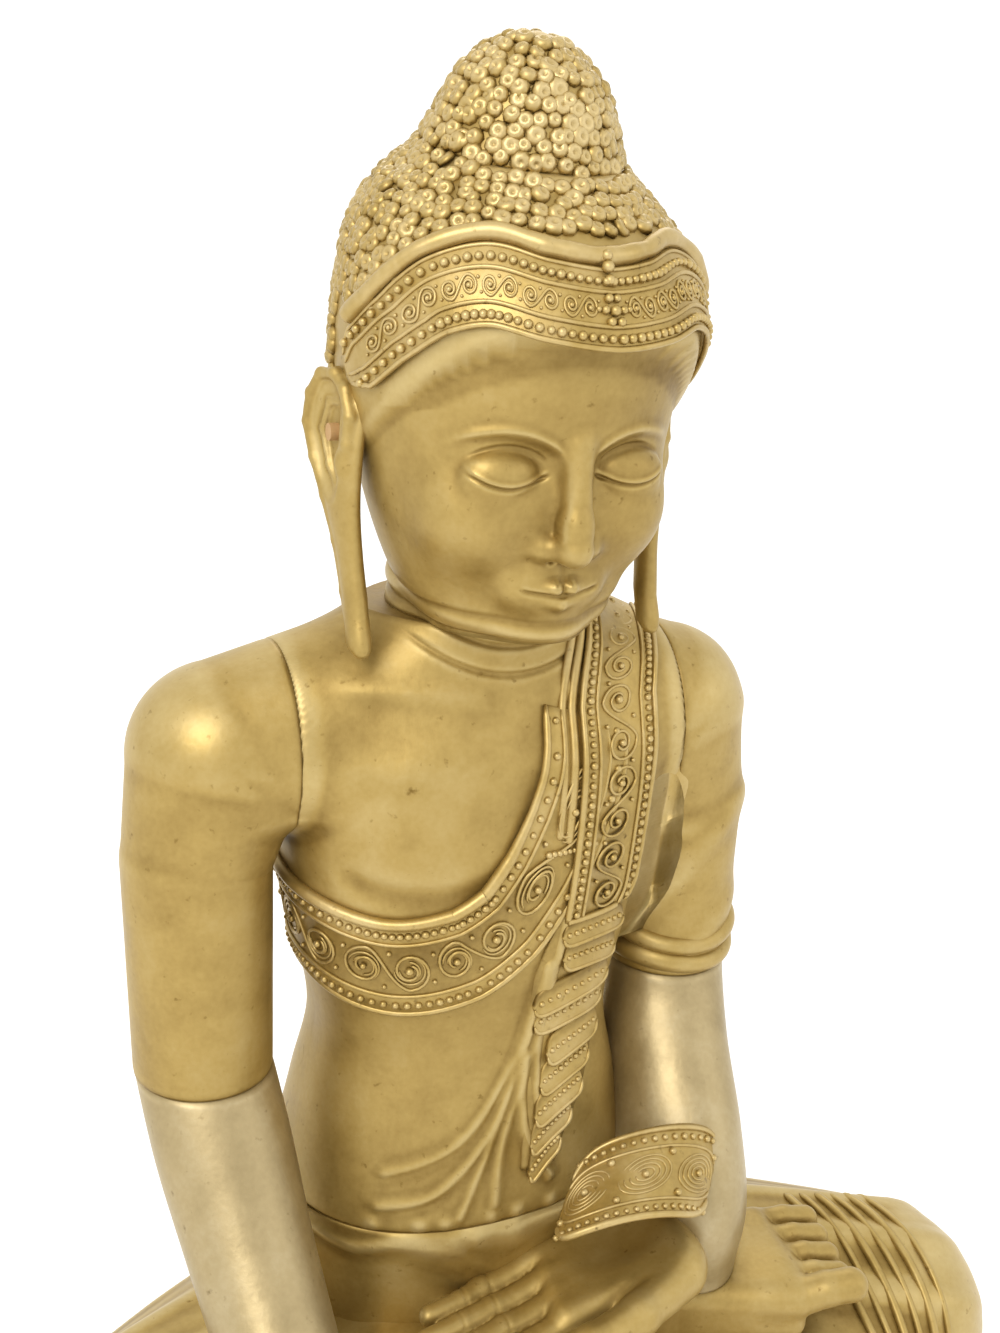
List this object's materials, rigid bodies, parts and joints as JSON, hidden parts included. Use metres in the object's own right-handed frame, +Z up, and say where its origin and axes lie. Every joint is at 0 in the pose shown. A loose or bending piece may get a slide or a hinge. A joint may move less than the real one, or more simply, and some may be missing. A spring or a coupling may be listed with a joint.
{
  "type": "seated buddha statue",
  "caption": "Seated buddha figure of dowelled carved wood blocks with putty hair curls and robe borders, one hand reaching to the ground.",
  "frame": {"origin": "middle of the flat underside of the crossed legs", "axes": "+Z up, -Y the way the figure looks, -X its right hand"},
  "size_m": [0.838, 0.4143, 0.9942],
  "materials": {
    "carved_wood": "satin gold paint over carved wood",
    "lacquer_putty": "satin gold paint over lacquer putty, darker in the hollows",
    "worn_roll": "gold paint rubbed pale on a plain roll",
    "bare_wood": "bare turned wood, hidden"
  },
  "bodies": {
    "root": {"lap_block": "carved_wood", "trunk": "carved_wood", "head": "carved_wood", "topknot": "carved_wood", "right_ear": "carved_wood", "left_ear": "carved_wood", "right_upper_arm": "carved_wood", "left_upper_arm": "carved_wood", "right_forearm": "carved_wood", "left_forearm": "carved_wood", "right_hand": "carved_wood", "left_hand": "carved_wood", "right_foot": "carved_wood", "left_foot": "carved_wood", "waist_dowels": "bare_wood", "neck_dowel": "bare_wood", "topknot_dowel": "bare_wood", "shoulder_dowels": "bare_wood", "elbow_dowels": "bare_wood", "wrist_dowels": "bare_wood", "ear_pegs": "bare_wood", "foot_pegs": "bare_wood", "head_curls": "lacquer_putty", "topknot_curls": "lacquer_putty", "hair_band": "lacquer_putty", "hair_band_roll": "worn_roll", "hair_band_cords": "lacquer_putty", "hair_band_beads": "lacquer_putty", "hair_band_scrolls": "lacquer_putty", "hair_band_flower": "lacquer_putty", "chest_border": "lacquer_putty", "chest_border_cords": "lacquer_putty", "chest_border_beads": "lacquer_putty", "chest_border_scrolls": "lacquer_putty", "shoulder_panel": "lacquer_putty", "shoulder_panel_cords": "lacquer_putty", "shoulder_panel_beads": "lacquer_putty", "shoulder_panel_scrolls": "lacquer_putty", "shawl_pleats": "carved_wood", "cuff_panel": "carved_wood", "cuff_cords": "lacquer_putty", "cuff_scrolls": "lacquer_putty", "sleeve_rolls": "carved_wood", "leg_folds": "carved_wood"}
  },
  "joints": []
}
